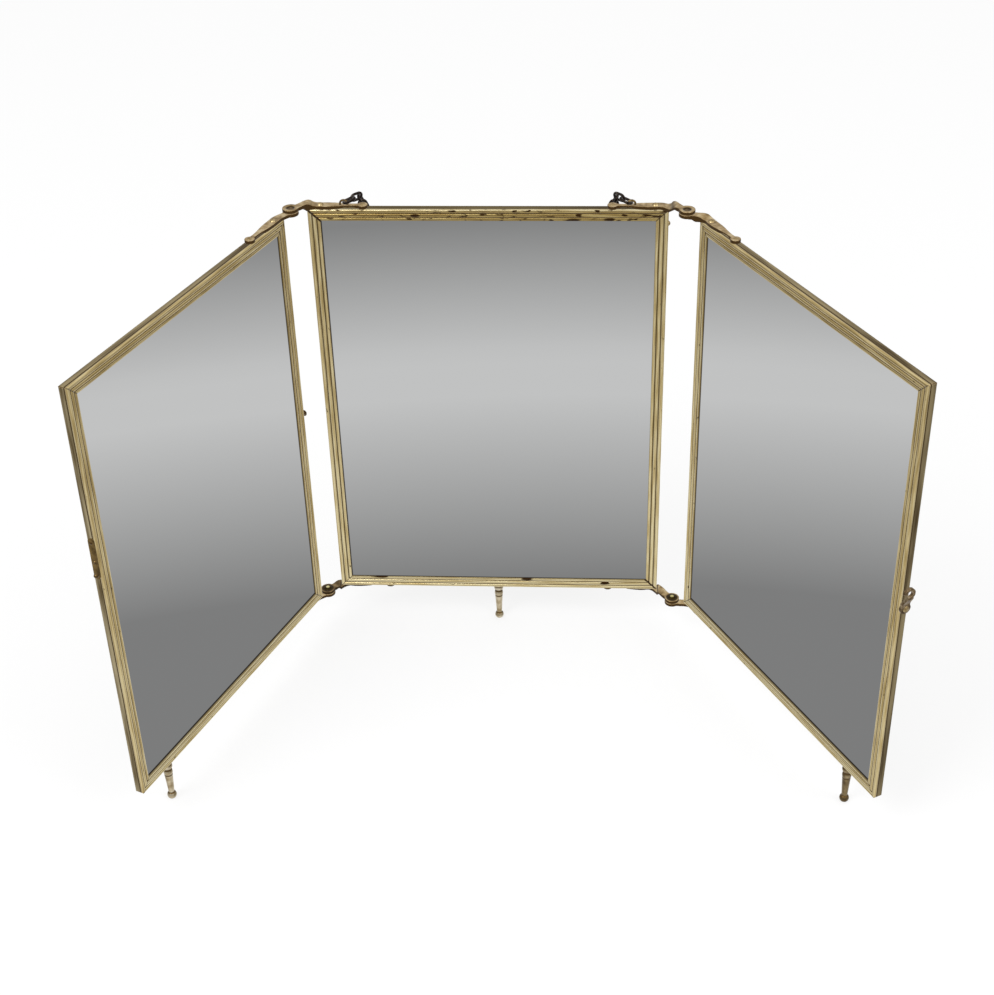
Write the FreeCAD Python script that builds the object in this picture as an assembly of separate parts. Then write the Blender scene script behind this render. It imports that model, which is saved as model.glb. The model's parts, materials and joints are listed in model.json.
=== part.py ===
"""Folding trifold mirror: three glasses in reeded brass frames on turned feet, joined by cast pivot hinges.

Millimetres, +Z up, +Y to the back. The origin is the middle of the centre foot's sole.
"""
import FreeCAD
import Part
import math
import os
from collections import namedtuple

from FreeCAD import Vector

# Panels: sight sizes are what shows of the glass inside the frame.
SIGHT_HEIGHT = 321.6
CENTRE_SIGHT_WIDTH = 240.8
LEFT_STOPS_SHORT = 8.8
RIGHT_STOPS_SHORT = 11.2
MITRE_GAP = 0.04

# Reeded moulding, listed from the glass outwards.
FACE_WIDTH = 9.1
BEAD_SHARES = (0.46, 0.54)
BEAD_RISES = (1.0, 1.3)
BEAD_SHOULDER = 0.5
CORNER_BEAD_RISE = 1.5
CORNER_BEAD_RADIUS = 1.45
GROOVE_WIDTH = 0.55
GROOVE_FLOOR = 0.3
SIDE_GROOVE_DEPTH = 0.3
BACK_EDGE_RADIUS = 1.2
FRAME_CORNER_RADIUS = 1.2
SIDE_WALL = 1.0
BACK_LIP_WIDTH = 4.5
BACK_LIP_THICKNESS = 0.8
GLASS_THICKNESS = 3.0
BOARD_THICKNESS = 2.2
EDGE_CLEARANCE = 0.5
CORNER_PLATE_LEG = 18.0
CORNER_PLATE_WIDTH = 2.9
CORNER_PLATE_CLEARANCE = 0.15

# Turned feet, from the frame down to the sole.
FOOT_COLLAR_RADIUS = 3.8
FOOT_COLLAR_HEIGHT = 4.0
FOOT_NECK_RADIUS = 2.7
FOOT_NECK_HEIGHT = 1.4
FOOT_RING_RADIUS = 3.4
FOOT_RING_HEIGHT = 4.6
FOOT_TAPER_TOP_RADIUS = 3.1
FOOT_TAPER_END_RADIUS = 2.15
FOOT_TAPER_HEIGHT = 17.8
FOOT_BALL_RADIUS = 3.5
FOOT_SOLE_RADIUS = 2.2
FOOT_SWELL_SHARE = 0.85
FOOT_SPIGOT_RADIUS = 1.5
FOOT_SPIGOT_OVERRUN = 0.3
LEFT_FOOT_INSET = 33.6
RIGHT_FOOT_INSET = 35.5

# Pivot hinges. Reach is sideways from the centre panel's edge, forward is from its middle plane.
LEFT_ANGLE = 67.1
LEFT_REACH = 10.3
LEFT_FORWARD = 11.25
LEFT_EDGE_GAP = 8.9
LEFT_FOLD_SPACING = 14.55
LEFT_EYE_RISE = 0.0
LEFT_ARM_RISE_PLACE = 17.2
LEFT_ARM_CREST_PLACE = 9.5
RIGHT_ANGLE = 60.1
RIGHT_REACH = 12.1
RIGHT_FORWARD = 17.25
RIGHT_EDGE_GAP = 6.8
RIGHT_FOLD_SPACING = 27.2
RIGHT_EYE_RISE = 2.2
RIGHT_ARM_RISE_PLACE = 13.5
RIGHT_ARM_CREST_PLACE = 6.5
LEAF_THICKNESS = 2.5
LEAF_HALF_WIDTH = 3.5
LEAF_SCREW_INSET = 9.5
LEAF_WAIST_INSET = 30.0
LEAF_MIDDLE_HALF_WIDTH = 3.15
LEAF_WAIST_HALF_WIDTH = 1.8
LEAF_NECK_HALF_WIDTH = 2.15
LEAF_WAIST_RELIEF = 1.3
LEAF_WAIST_RUN = 6.0
LEAF_LOBE_INSET = 40.0
LEAF_LOBE_RADIUS = 3.7
ARM_HALF_WIDTH = 3.1
ARM_RUN = 5.0
ARM_CREST = 0.4
ARM_UNDERSIDE_RUN = 1.7
TOP_ARM_LEVEL_PLACE = 8.6
TOP_ARM_LIFT_INSET = 0.5
BOTTOM_LEAF_SET_IN = 2.2
BOTTOM_ARM_SHOULDER = 1.6
BOTTOM_ARM_SHOULDER_RUN = 0.9
BOTTOM_ARM_CREST_SHARE = 1.1
BOTTOM_ARM_EDGE_GAP = 0.3
EYE_RADIUS = 5.8
EYE_GAP = 0.3
EYE_DIMPLE_RADIUS = 3.6
EYE_DIMPLE_DEPTH = 0.8
PIN_RADIUS = 2.0
PIN_RUNNING_CLEARANCE = 0.05
PIN_HEAD_RADIUS = 3.2
PIN_HEAD_HEIGHT = 1.3

# Screws and rivets.
FASTENER_CLEARANCE = 0.05
FASTENER_OVERRUN = 0.1
SCREW_RADIUS = 1.1
SCREW_HEAD_RADIUS = 2.4
SCREW_HEAD_HEIGHT = 1.4
SLOT_WIDTH = 0.5
SLOT_DEPTH = 0.6
RIVET_RADIUS = 0.9
RIVET_HEAD_RADIUS = 1.9
RIVET_HEAD_HEIGHT = 0.7
SIDE_SCREW_BELOW_TOP = 12.0

# Chain behind the centre panel and the hoops that hold it.
HOOP_INSET = 26.5
HOOP_WIRE_RADIUS = 0.8
HOOP_INNER_HALF_WIDTH = 1.8
LINK_LENGTH = 10.5
LINK_WIDTH = 7.5
LINK_WIRE = 2.0
LINK_SLACK = 0.35
HOOP_SLACK = 0.25
CHAIN_DROP = 90.0
CHAIN_SEAT_SHIFT = 0.65
CHAIN_FIRST_DRIFT = 0.7
CHAIN_SECOND_DRIFT = 0.3
CHAIN_THIRD_DRIFT = 0.1
CATENARY_BRACKET = 20.0
END_LINK_TILTS = ((-0.907, 0.286, 0.309), (-0.797, 0.602, 0.050), (-0.336, 0.517, -0.787))
END_LINK_WIDTHS = ((0.0, 1.0, 0.0), (-0.098, -0.211, 0.973), (0.192, 0.856, 0.480))

# Latch hook on the right wing's outer edge and its stud on the left wing's hinge edge.
HOOK_HEIGHT = 161.6
HOOK_REACH = 13.4
HOOK_CRANK = 2.4
HOOK_EYE_RADIUS = 4.0
HOOK_THICKNESS = 2.4
HOOK_CLEARANCE = 0.3
HOOK_SHANK_HALF_WIDTH = 3.3
HOOK_THROAT_RADIUS = 2.4
HOOK_LOOP_WIDTH = 2.1
HOOK_MOUTH_START = 85.0
HOOK_MOUTH_END = 160.0
HOOK_CRANK_LENGTH = 5.0
HOOK_PIN_RADIUS = 1.5
HOOK_PIN_HEAD_RADIUS = 2.3
HOOK_PIN_HEAD_HEIGHT = 0.9
STUD_HEIGHT = 165.0
STUD_NECK_RADIUS = 1.7
STUD_NECK_LENGTH = 4.4
STUD_HEAD_RADIUS = 2.6
STUD_HEAD_HEIGHT = 1.9

# Catch plate on the left wing's outer edge.
CATCH_HEIGHT = 200.7
CATCH_LENGTH = 32.5
CATCH_WIDTH = 5.0
CATCH_THICKNESS = 0.9
CATCH_SCREW_SPACING = 25.8
CATCH_MIDDLE_DROP = 2.8
CATCH_SCREW_HEAD_RADIUS = 1.3
CATCH_SCREW_HEAD_HEIGHT = 0.8
CATCH_STUD_REACH = 2.6
CATCH_STUD_RADIUS = 1.7

# Sizes worked out from those above.
CORNER_BEAD_LEVEL = CORNER_BEAD_RISE - CORNER_BEAD_RADIUS
CORNER_BEAD_RUN = math.sqrt(CORNER_BEAD_RADIUS ** 2 - (GROOVE_FLOOR - CORNER_BEAD_LEVEL) ** 2)
BEADS_WIDTH = FACE_WIDTH - CORNER_BEAD_RADIUS - CORNER_BEAD_RUN - GROOVE_WIDTH * len(BEAD_SHARES)
CHANNEL = GLASS_THICKNESS + BOARD_THICKNESS
FRAME_DEPTH = CORNER_BEAD_RISE + CHANNEL + BACK_LIP_THICKNESS
FRAME_FRONT = -FRAME_DEPTH / 2
GLASS_FRONT = FRAME_FRONT + CORNER_BEAD_RISE
GLASS_LAP = FACE_WIDTH - SIDE_WALL - EDGE_CLEARANCE
FOOT_TURNED_HEIGHT = FOOT_COLLAR_HEIGHT + FOOT_NECK_HEIGHT + FOOT_RING_HEIGHT + FOOT_TAPER_HEIGHT
BALL_CENTRE = math.sqrt(FOOT_BALL_RADIUS ** 2 - FOOT_SOLE_RADIUS ** 2)
BALL_TOP = BALL_CENTRE + math.sqrt(FOOT_BALL_RADIUS ** 2 - FOOT_TAPER_END_RADIUS ** 2)
FRAME_BOTTOM = BALL_TOP + FOOT_TURNED_HEIGHT
SIGHT_BOTTOM = FRAME_BOTTOM + FACE_WIDTH
FRAME_TOP = SIGHT_BOTTOM + SIGHT_HEIGHT + FACE_WIDTH
MIDDLE_HEIGHT = (FRAME_BOTTOM + FRAME_TOP) / 2
CENTRE_HALF = CENTRE_SIGHT_WIDTH / 2 + FACE_WIDTH
LEFT_PIVOT_X = -(CENTRE_HALF + LEFT_REACH)
RIGHT_PIVOT_X = CENTRE_HALF + RIGHT_REACH
LEFT_FOLDED_EDGE = LEFT_PIVOT_X + LEFT_EDGE_GAP
LEFT_OUTER_WIDTH = CENTRE_HALF - LEFT_STOPS_SHORT - LEFT_FOLDED_EDGE
RIGHT_OUTER_WIDTH = RIGHT_PIVOT_X - RIGHT_EDGE_GAP - (LEFT_FOLDED_EDGE + RIGHT_STOPS_SHORT)
EYE_LEVEL = LEAF_THICKNESS + EYE_GAP
LINK_BEND = (LINK_WIDTH - LINK_WIRE) / 2

Wing = namedtuple("Wing", "name side outer_width pivot_x forward edge_gap set_back angle foot_inset eye_rise"
                          " arm_rise_place arm_crest_place")
LEFT = Wing("left", -1, LEFT_OUTER_WIDTH, LEFT_PIVOT_X, LEFT_FORWARD, LEFT_EDGE_GAP,
            LEFT_FOLD_SPACING - LEFT_FORWARD, LEFT_ANGLE, LEFT_FOOT_INSET, LEFT_EYE_RISE,
            LEFT_ARM_RISE_PLACE, LEFT_ARM_CREST_PLACE)
RIGHT = Wing("right", 1, RIGHT_OUTER_WIDTH, RIGHT_PIVOT_X, RIGHT_FORWARD, RIGHT_EDGE_GAP,
             RIGHT_FOLD_SPACING - RIGHT_FORWARD, -RIGHT_ANGLE, RIGHT_FOOT_INSET, RIGHT_EYE_RISE,
             RIGHT_ARM_RISE_PLACE, RIGHT_ARM_CREST_PLACE)

X_AXIS = Vector(1, 0, 0)
Y_AXIS = Vector(0, 1, 0)
Z_AXIS = Vector(0, 0, 1)
ORIGIN = Vector(0, 0, 0)


def face_of(start, steps):
    """Flat face bounded by straight lines, given as (end,), and arcs, given as (middle, end)."""
    edges = []
    here = start
    for step in steps:
        there = step[-1]
        curve = Part.LineSegment(here, there) if len(step) == 1 else Part.Arc(here, step[0], there)
        edges.append(curve.toShape())
        here = there
    edges.append(Part.LineSegment(here, start).toShape())
    return Part.Face(Part.Wire(edges))


def polygon_prism(points, travel):
    """Prism on a closed polygon."""
    return face_of(points[0], [(point,) for point in points[1:]]).extrude(travel)


def block(low, high):
    """Box between two corners."""
    return Part.makeBox(high.x - low.x, high.y - low.y, high.z - low.z, low)


def turned(points):
    """Solid of revolution about Z: (radius, height) steps are lines, and pairs of them are arcs."""
    vectors = [tuple(Vector(p[i], 0, p[i + 1]) for i in range(0, len(p), 2)) for p in points]
    return face_of(vectors[0][0], vectors[1:]).revolve(ORIGIN, Z_AXIS, 360)


def domed_head(radius, height):
    """Round head standing on z = 0."""
    mid_radius = radius / 2
    ball = (radius ** 2 + height ** 2) / (2 * height)
    mid_height = height - ball + math.sqrt(ball ** 2 - mid_radius ** 2)
    return turned([(0, 0), (radius, 0), (mid_radius, mid_height, 0, height)])


def slotted_screw(radius, head_radius, head_height, shank):
    """Round-head screw with its head on z = 0 and its shank below."""
    screw = rivet(radius, head_radius, head_height, shank)
    slot = block(Vector(-head_radius, -SLOT_WIDTH / 2, head_height - SLOT_DEPTH),
                 Vector(head_radius, SLOT_WIDTH / 2, head_height))
    return screw.cut(slot)


def rivet(radius, head_radius, head_height, shank):
    """Plain round-head rivet with its head on z = 0 and its shank below."""
    return domed_head(head_radius, head_height).fuse(Part.makeCylinder(radius, shank, Vector(0, 0, -shank)))


def flipped(shape, normal):
    """Mirror image through the origin."""
    return shape.mirror(ORIGIN, normal)


def moved(shape, offset):
    """Copy of a shape shifted by an offset."""
    copy = shape.copy()
    copy.translate(offset)
    return copy


def spun(shape, axis, angle):
    """Copy of a shape turned about an axis through the origin."""
    copy = shape.copy()
    copy.rotate(ORIGIN, axis, angle)
    return copy


def rail_section():
    """Section of the reeded channel: beads towards -y, sight edge at z = 0, outer side at z = FACE_WIDTH."""
    def at(outwards, forwards):
        return Vector(0, GLASS_FRONT - forwards, outwards)

    steps = []
    out = 0.0
    for share, rise in zip(BEAD_SHARES, BEAD_RISES):
        width = BEADS_WIDTH * share
        steps.append((at(out, BEAD_SHOULDER),))
        steps.append((at(out + width / 2, rise), at(out + width, BEAD_SHOULDER)))
        steps.append((at(out + width, GROOVE_FLOOR),))
        out += width + GROOVE_WIDTH
        steps.append((at(out, GROOVE_FLOOR),))
    bead_middle = FACE_WIDTH - CORNER_BEAD_RADIUS
    slant = CORNER_BEAD_RADIUS * math.sqrt(0.5)
    groove_floor = FACE_WIDTH - SIDE_GROOVE_DEPTH
    groove_start = CORNER_BEAD_LEVEL - math.sqrt(CORNER_BEAD_RADIUS ** 2 - (groove_floor - bead_middle) ** 2)
    groove_end = groove_start - GROOVE_WIDTH
    back = -CHANNEL - BACK_LIP_THICKNESS
    corner = BACK_EDGE_RADIUS * (1 - math.sqrt(0.5))
    lip_edge = FACE_WIDTH - BACK_LIP_WIDTH
    wall = FACE_WIDTH - SIDE_WALL
    steps.append((at(bead_middle + slant, CORNER_BEAD_LEVEL + slant), at(groove_floor, groove_start)))
    steps.append((at(groove_floor, groove_end),))
    steps.append((at(FACE_WIDTH, groove_end),))
    steps.append((at(FACE_WIDTH, back + BACK_EDGE_RADIUS),))
    steps.append((at(FACE_WIDTH - corner, back + corner), at(FACE_WIDTH - BACK_EDGE_RADIUS, back)))
    steps.append((at(lip_edge, back),))
    steps.append((at(lip_edge, -CHANNEL),))
    steps.append((at(wall, -CHANNEL),))
    steps.append((at(wall, 0),))
    return face_of(at(0, 0), steps)


def mitred_rail(outer_length):
    """Top rail about x = 0 with its sight edge on z = 0 and both ends cut at 45 degrees."""
    half = outer_length / 2
    bar = moved(rail_section(), Vector(-half, 0, 0)).extrude(X_AXIS * outer_length)
    overrun = FACE_WIDTH / 2
    low = -overrun
    high = FACE_WIDTH + overrun
    low_half = half - MITRE_GAP + low - FACE_WIDTH
    high_half = half - MITRE_GAP + high - FACE_WIDTH
    mitres = [(-low_half, low), (low_half, low), (high_half, high), (-high_half, high)]
    cutter = polygon_prism([Vector(x, -FRAME_DEPTH, z) for x, z in mitres], Y_AXIS * FRAME_DEPTH * 2)
    outline = block(Vector(-half, -FRAME_DEPTH, low), Vector(half, FRAME_DEPTH, FACE_WIDTH))
    corners = []
    for edge in outline.Edges:
        if edge.BoundBox.ZMin > 0 and edge.BoundBox.YLength > FRAME_DEPTH:
            corners.append(edge)
    return bar.common(cutter).common(outline.makeFillet(FRAME_CORNER_RADIUS, corners))


def corner_plate_set(half_width, clearance):
    """Four L plates in the channel's corners, grown by a clearance."""
    inner = FACE_WIDTH - SIDE_WALL - CORNER_PLATE_CLEARANCE
    y_low = GLASS_FRONT + GLASS_THICKNESS
    y_high = y_low + BOARD_THICKNESS
    outer_x = half_width - FACE_WIDTH + inner
    outer_z = (FRAME_TOP - FRAME_BOTTOM) / 2 - FACE_WIDTH + inner
    wide = CORNER_PLATE_WIDTH + clearance
    leg = CORNER_PLATE_LEG + clearance
    along_x = block(Vector(outer_x - leg, y_low, outer_z - wide), Vector(outer_x, y_high, outer_z))
    along_z = block(Vector(outer_x - wide, y_low, outer_z - leg), Vector(outer_x, y_high, outer_z))
    top_right = along_x.fuse(along_z).removeSplitter()
    top_left = flipped(top_right, X_AXIS)
    pairs = [top_right, top_left, flipped(top_right, Z_AXIS), flipped(top_left, Z_AXIS)]
    return [moved(plate, Vector(0, 0, MIDDLE_HEIGHT)) for plate in pairs]


def fastener_sites(half_width, sides):
    """X places of the leaf screws and end rivets on a panel's top and bottom rails."""
    screws = [side * (half_width - LEAF_SCREW_INSET) for side in sides]
    rivets = [side * (half_width - LEAF_LOBE_INSET) for side in sides]
    return screws, rivets


def panel(outer_width, hinge_sides, foot_x):
    """Pieces of one framed panel about x = 0, with its middle plane on y = 0."""
    half = outer_width / 2
    height = FRAME_TOP - FRAME_BOTTOM
    sight_half = half - FACE_WIDTH
    across = mitred_rail(outer_width)
    upright = mitred_rail(height)
    top = moved(across, Vector(0, 0, FRAME_TOP - FACE_WIDTH))
    bottom = moved(spun(across, Y_AXIS, 180), Vector(0, 0, SIGHT_BOTTOM))
    screws, rivets = fastener_sites(half, hinge_sides)
    for places, radius in ((screws, SCREW_RADIUS), (rivets, RIVET_RADIUS)):
        for x in places:
            drill = Part.makeCylinder(radius + FASTENER_CLEARANCE, FRAME_TOP, Vector(x, 0, 0))
            top = top.cut(drill)
            bottom = bottom.cut(moved(drill, Y_AXIS * plate_set_in("bottom")))
    foot_hole = Part.makeCylinder(FOOT_SPIGOT_RADIUS, SIDE_WALL, Vector(foot_x, 0, FRAME_BOTTOM))
    bottom = bottom.cut(foot_hole)
    lap_half = sight_half + GLASS_LAP
    glass_low = SIGHT_BOTTOM - GLASS_LAP
    glass_high = FRAME_TOP - FACE_WIDTH + GLASS_LAP
    glass_back = GLASS_FRONT + GLASS_THICKNESS
    board_back = glass_back + BOARD_THICKNESS
    glass = block(Vector(-lap_half, GLASS_FRONT, glass_low), Vector(lap_half, glass_back, glass_high))
    board = block(Vector(-lap_half, glass_back, glass_low), Vector(lap_half, board_back, glass_high))
    for notch in corner_plate_set(half, CORNER_PLATE_CLEARANCE):
        board = board.cut(notch)
    middle = Vector(0, 0, MIDDLE_HEIGHT)
    return {
        "top_rail": top,
        "bottom_rail": bottom,
        "left_stile": moved(spun(upright, Y_AXIS, -90), middle + Vector(-sight_half, 0, 0)),
        "right_stile": moved(spun(upright, Y_AXIS, 90), middle + Vector(sight_half, 0, 0)),
        "mirror_glass": glass,
        "backing_board": board,
        "corner_plates": Part.makeCompound(corner_plate_set(half, 0)),
        "foot": moved(turned_foot(), Vector(foot_x, 0, 0)),
    }


def turned_foot():
    """Foot on z = 0: ball, taper, ring, neck, collar and the spigot that goes up through the rail."""
    taper_top = BALL_TOP + FOOT_TAPER_HEIGHT
    ring_top = taper_top + FOOT_RING_HEIGHT
    neck_top = ring_top + FOOT_NECK_HEIGHT
    collar_mid = (neck_top + FRAME_BOTTOM) / 2
    collar_end = FOOT_COLLAR_RADIUS * FOOT_SWELL_SHARE
    ring_end = FOOT_RING_RADIUS * FOOT_SWELL_SHARE
    spigot_top = FRAME_BOTTOM + SIDE_WALL + FOOT_SPIGOT_OVERRUN
    return turned([
        (0, 0),
        (FOOT_SOLE_RADIUS, 0),
        (FOOT_BALL_RADIUS, BALL_CENTRE, FOOT_TAPER_END_RADIUS, BALL_TOP),
        (FOOT_TAPER_TOP_RADIUS, taper_top),
        (ring_end, taper_top),
        (FOOT_RING_RADIUS, (taper_top + ring_top) / 2, ring_end, ring_top),
        (FOOT_NECK_RADIUS, ring_top),
        (FOOT_NECK_RADIUS, neck_top),
        (collar_end, neck_top),
        (FOOT_COLLAR_RADIUS, collar_mid, collar_end, FRAME_BOTTOM),
        (FOOT_SPIGOT_RADIUS, FRAME_BOTTOM),
        (FOOT_SPIGOT_RADIUS, spigot_top),
        (0, spigot_top),
    ])


def leaf_plan(edge_gap, set_back, height):
    """Tall prism of a leaf's outline: eye at the origin, curved arm, tapering plate and round end lobe."""
    arm_end = edge_gap + ARM_RUN
    waist = edge_gap + LEAF_WAIST_INSET
    lobe = edge_gap + LEAF_LOBE_INSET
    stations = [(0.0, 0.0, ARM_HALF_WIDTH)]
    for share in (1 / 3, 2 / 3):
        ease = share * share * (3 - 2 * share)
        stations.append((arm_end * share, set_back * ease, ARM_HALF_WIDTH))
    stations.append((arm_end, set_back, LEAF_HALF_WIDTH))
    stations.append((edge_gap + LEAF_SCREW_INSET, set_back, LEAF_HALF_WIDTH))
    stations.append(((edge_gap + LEAF_SCREW_INSET + waist) / 2, set_back, LEAF_MIDDLE_HALF_WIDTH))
    stations.append((waist, set_back, LEAF_WAIST_HALF_WIDTH))
    stations.append((lobe, set_back, LEAF_NECK_HALF_WIDTH))
    left_side = []
    right_side = []
    for index, (x, y, half_width) in enumerate(stations):
        before = stations[max(index - 1, 0)]
        after = stations[min(index + 1, len(stations) - 1)]
        along = Vector(after[0] - before[0], after[1] - before[1], 0).normalize()
        across = Z_AXIS.cross(along) * half_width
        left_side.append(Vector(x, y, 0) + across)
        right_side.append(Vector(x, y, 0) - across)
    edges = []
    for side in (left_side, right_side):
        spline = Part.BSplineCurve()
        spline.interpolate(side)
        edges.append(spline.toShape())
    edges.append(Part.LineSegment(left_side[0], right_side[0]).toShape())
    edges.append(Part.LineSegment(left_side[-1], right_side[-1]).toShape())
    band = Part.Face(Part.Wire(Part.sortEdges(edges)[0])).extrude(Z_AXIS * height)
    eye = Part.makeCylinder(EYE_RADIUS, height)
    end = Part.makeCylinder(LEAF_LOBE_RADIUS, height, Vector(lobe, set_back, 0))
    return band.fuse([eye, end])


def leaf_profile(wing, edge_gap, eye_level, level, arm_crest):
    """Side outline of a leaf: eye at its level, arm that swells up to it, relieved waist, flat end."""
    def at(along, up):
        return Vector(along, 0, up)

    waist = edge_gap + LEAF_WAIST_INSET
    eye_top = eye_level + LEAF_THICKNESS
    crest = eye_top + arm_crest
    underside = [(at(waist + LEAF_WAIST_RUN, 0),), (at(waist + LEAF_WAIST_RUN / 2, LEAF_WAIST_RELIEF),),
                 (at(waist - LEAF_WAIST_RUN / 2, LEAF_WAIST_RELIEF),), (at(waist - LEAF_WAIST_RUN, 0),)]
    top = []
    if eye_level and level == "top":
        rise = crest - LEAF_THICKNESS
        step = (wing.arm_rise_place - wing.arm_crest_place) / 4
        halfway = wing.arm_crest_place + 2 * step
        underside.append((at(edge_gap + TOP_ARM_LIFT_INSET, 0),))
        underside.append((at(min(TOP_ARM_LEVEL_PLACE, edge_gap - ARM_UNDERSIDE_RUN), eye_level),))
        top.append((at(EYE_RADIUS / 2, eye_top),))
        top.append((at(wing.arm_crest_place, crest),))
        top.append((at(halfway - step, crest - rise / 8), at(halfway, crest - rise / 2)))
        top.append((at(halfway + step, LEAF_THICKNESS + rise / 8), at(wing.arm_rise_place, LEAF_THICKNESS)))
    elif eye_level:
        arm_start = edge_gap - BOTTOM_ARM_EDGE_GAP
        underside.append((at(arm_start, 0),))
        underside.append((at(edge_gap - ARM_UNDERSIDE_RUN, eye_level),))
        top.append((at(EYE_RADIUS / 2, eye_top),))
        top.append((at(EYE_RADIUS * BOTTOM_ARM_CREST_SHARE, crest),))
        top.append((at(arm_start - BOTTOM_ARM_SHOULDER_RUN, LEAF_THICKNESS + BOTTOM_ARM_SHOULDER),))
        top.append((at(arm_start, LEAF_THICKNESS),))
    start = -EYE_RADIUS * 2
    finish = edge_gap + LEAF_LOBE_INSET + LEAF_LOBE_RADIUS * 2
    eye = [(at(start, eye_level),), (at(start, eye_top),)]
    return face_of(at(finish, 0), underside + eye + top + [(at(finish, LEAF_THICKNESS),)])


def hinge_leaf(wing, edge_gap, set_back, eye_level, level, arm_crest, bore_radius):
    """Cast leaf about its pivot axis, with the rail's face on z = 0 and the panel along +x."""
    height = eye_level + LEAF_THICKNESS + arm_crest
    reach = set_back + EYE_RADIUS + LEAF_LOBE_RADIUS * 2
    side = moved(leaf_profile(wing, edge_gap, eye_level, level, arm_crest), Y_AXIS * -reach)
    leaf = leaf_plan(edge_gap, set_back, height).common(side.extrude(Y_AXIS * reach * 2))
    leaf = leaf.cut(Part.makeCylinder(bore_radius, height))
    for inset, radius in ((LEAF_SCREW_INSET, SCREW_RADIUS), (LEAF_LOBE_INSET, RIVET_RADIUS)):
        place = Vector(edge_gap + inset, set_back, 0)
        leaf = leaf.cut(Part.makeCylinder(radius + FASTENER_CLEARANCE, height, place))
    return leaf


def eye_rise(wing, level):
    """Height of a wing leaf's eye above its plate."""
    return wing.eye_rise if level == "top" else 0.0


def plate_set_in(level):
    """How far a leaf's plate lies behind its panel's middle plane."""
    return BOTTOM_LEAF_SET_IN if level == "bottom" else 0.0


def centre_leaf(wing, level):
    """Leaf of the centre panel. The top one has a dimple round its pin and holes for the chain hoop."""
    reach = abs(wing.pivot_x) - CENTRE_HALF
    eye_level = eye_rise(wing, level) + EYE_LEVEL
    bore_radius = PIN_RADIUS + PIN_RUNNING_CLEARANCE
    set_back = wing.forward + plate_set_in(level)
    leaf = hinge_leaf(wing, reach, set_back, eye_level, level, ARM_CREST, bore_radius)
    if level == "top":
        dimple_floor = Vector(0, 0, eye_level + LEAF_THICKNESS - EYE_DIMPLE_DEPTH)
        leaf = leaf.cut(Part.makeCone(PIN_RADIUS, EYE_DIMPLE_RADIUS, EYE_DIMPLE_DEPTH, dimple_floor))
        for x in hoop_leg_places():
            place = Vector(reach + HOOP_INSET + x, wing.forward, 0)
            leaf = leaf.cut(Part.makeCylinder(HOOP_WIRE_RADIUS + FASTENER_CLEARANCE, LEAF_THICKNESS, place))
    return leaf


def pivot_pin(wing, level):
    """Pin through both eyes: its round head is under the wing's eye at the top, over both at the bottom."""
    head = domed_head(PIN_HEAD_RADIUS, PIN_HEAD_HEIGHT)
    if level == "top":
        length = EYE_LEVEL + LEAF_THICKNESS - EYE_DIMPLE_DEPTH
        pin = flipped(head, Z_AXIS).fuse(Part.makeCylinder(PIN_RADIUS, length))
    else:
        length = EYE_LEVEL + LEAF_THICKNESS + EYE_GAP
        pin = moved(head, Vector(0, 0, length)).fuse(Part.makeCylinder(PIN_RADIUS, length))
    return moved(pin, Z_AXIS * eye_rise(wing, level))


def leaf_fasteners(edge_gap, set_back):
    """Screw and end rivet of one leaf."""
    shank = LEAF_THICKNESS + SIDE_WALL + FASTENER_OVERRUN
    screw = slotted_screw(SCREW_RADIUS, SCREW_HEAD_RADIUS, SCREW_HEAD_HEIGHT, shank)
    end_rivet = rivet(RIVET_RADIUS, RIVET_HEAD_RADIUS, RIVET_HEAD_HEIGHT, shank)
    return [moved(screw, Vector(edge_gap + LEAF_SCREW_INSET, set_back, LEAF_THICKNESS)),
            moved(end_rivet, Vector(edge_gap + LEAF_LOBE_INSET, set_back, LEAF_THICKNESS))]


def at_level(shape, level):
    """Leaf or pin set on the top rail's face, or the same way up under the bottom rail's face."""
    height = FRAME_TOP if level == "top" else FRAME_BOTTOM - LEAF_THICKNESS
    return moved(shape, Vector(0, 0, height))


def driven_in(fastener, level):
    """Fastener driven down into the top rail, or up into the bottom rail."""
    if level == "top":
        return moved(fastener, Vector(0, 0, FRAME_TOP))
    return moved(flipped(fastener, Z_AXIS), Vector(0, 0, FRAME_BOTTOM))


def to_centre(shape, wing):
    """Hinge piece of the centre panel, from pivot coordinates to its place."""
    shape = flipped(shape, X_AXIS) if wing.side > 0 else shape
    return moved(shape, Vector(wing.pivot_x, -wing.forward, 0))


def to_wing(shape, wing):
    """Piece of a wing, from the flat-open wing with its pivot at the origin to its place."""
    return moved(spun(shape, Z_AXIS, wing.angle), Vector(wing.pivot_x, -wing.forward, 0))


def hoop_leg_places():
    """Sideways places of a chain hoop's two legs."""
    half = HOOP_INNER_HALF_WIDTH + HOOP_WIRE_RADIUS
    return (-half, half)


def chain_hoop():
    """Wire staple over the rail's middle, with its legs through the leaf that lies on z = 0."""
    half = HOOP_INNER_HALF_WIDTH + HOOP_WIRE_RADIUS
    spring = LEAF_THICKNESS + LINK_WIRE + 2 * HOOP_SLACK - HOOP_INNER_HALF_WIDTH
    arch = Part.makeTorus(half, HOOP_WIRE_RADIUS, Vector(0, 0, spring), Y_AXIS)
    above = block(Vector(-half * 2, -half, spring), Vector(half * 2, half, spring + half * 2))
    legs = [Part.makeCylinder(HOOP_WIRE_RADIUS, spring, Vector(x, 0, 0)) for x in hoop_leg_places()]
    return arch.common(above).fuse(legs).removeSplitter()


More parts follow.
